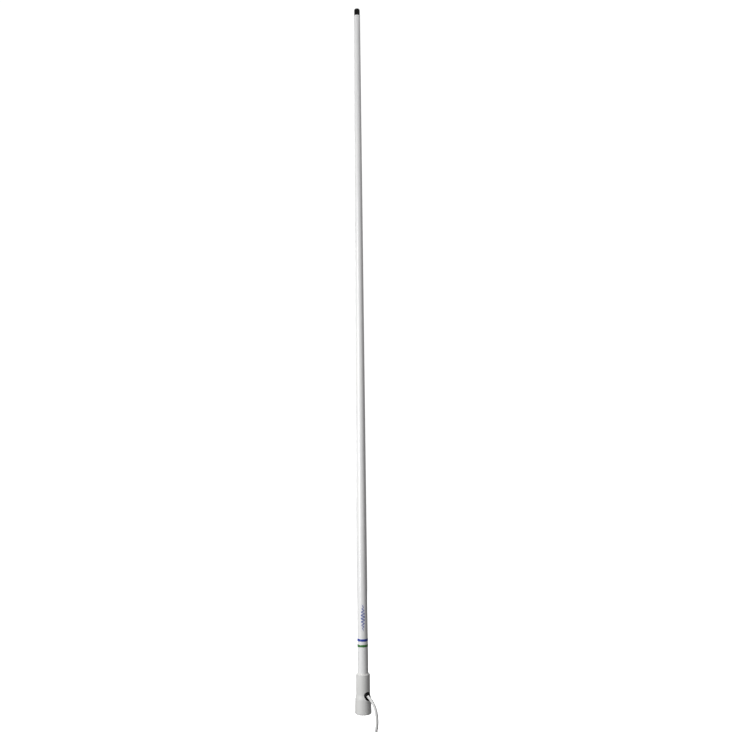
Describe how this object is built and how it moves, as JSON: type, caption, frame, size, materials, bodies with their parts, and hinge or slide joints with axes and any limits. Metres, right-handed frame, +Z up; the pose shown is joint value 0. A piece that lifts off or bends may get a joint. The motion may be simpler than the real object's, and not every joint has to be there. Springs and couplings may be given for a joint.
{
  "type": "omnidirectional whip antenna",
  "caption": "White tapered fibreglass whip antenna with a moulded threaded ferrule, side cable exit, coiled coaxial lead and screw-on RF plug.",
  "frame": {"origin": "centre of the threaded mouth in the ferrule's foot, in the plane of its seating face", "axes": "+Z up the whip to its tip; the front, with the decal, faces -Y; the lead leaves 39 degrees to the right of the front (towards +X)"},
  "size_m": [0.0921, 0.0973, 1.708],
  "materials": {
    "ferrule_nylon": "moulded nylon, light grey-white, satin",
    "bond_epoxy": "cured epoxy, semi-gloss",
    "grommet_rubber": "black rubber, satin",
    "white_fibreglass": "white polyurethane gloss over fibreglass",
    "cap_rubber": "black moulded vinyl, slight sheen",
    "blue_film": "blue vinyl band",
    "green_film": "green vinyl band",
    "decal_film": "blue print on clear film",
    "potting": "cast resin",
    "white_pvc": "white PVC jacket",
    "copper": "tinned and bare copper",
    "polyethylene": "natural polyethylene",
    "brass": "drawn brass",
    "acetal": "machined acetal",
    "shrink_tube": "black heat-shrink tube",
    "foam": "closed-cell polyethylene foam",
    "tie_nylon": "natural nylon",
    "nickel": "nickel plate on brass",
    "phenolic": "moulded phenolic",
    "silvered": "silver plate"
  },
  "bodies": {
    "antenna": {"ferrule": "ferrule_nylon", "ferrule_bond": "bond_epoxy", "cable_grommet": "grommet_rubber", "radome": "white_fibreglass", "tip_cap": "cap_rubber", "blue_band": "blue_film", "green_band": "green_film", "decal": "decal_film", "base_plug": "potting", "cable_inside": "white_pvc", "coax_braid": "copper", "coax_dielectric": "polyethylene", "coax_conductor": "copper", "sleeve_tube": "brass", "sleeve_cap": "brass", "sleeve_bush": "polyethylene", "feed_insulator": "acetal", "radiator_rod": "brass", "feed_shrink": "shrink_tube", "foam_spacer_1": "foam", "foam_spacer_2": "foam", "foam_spacer_3": "foam", "foam_spacer_4": "foam", "foam_spacer_5": "foam", "foam_spacer_6": "foam", "foam_spacer_7": "foam", "cable_drop": "white_pvc", "cable_coil": "white_pvc", "cable_tail": "white_pvc", "cable_tie_1": "tie_nylon", "cable_tie_2": "tie_nylon", "plug_reducer": "nickel", "plug_body": "nickel", "plug_insulator": "phenolic", "plug_pin": "silvered", "plug_dielectric": "polyethylene", "plug_conductor": "copper"},
    "coupling_nut": {"plug_nut": "nickel"}
  },
  "joints": [
    {"name": "coupling_nut_turn", "type": "hinge", "parent": "antenna", "child": "coupling_nut", "pos_m": [0.06433, -0.03129, -0.191], "axis": [0, 0, -1], "continuous": true}
  ]
}
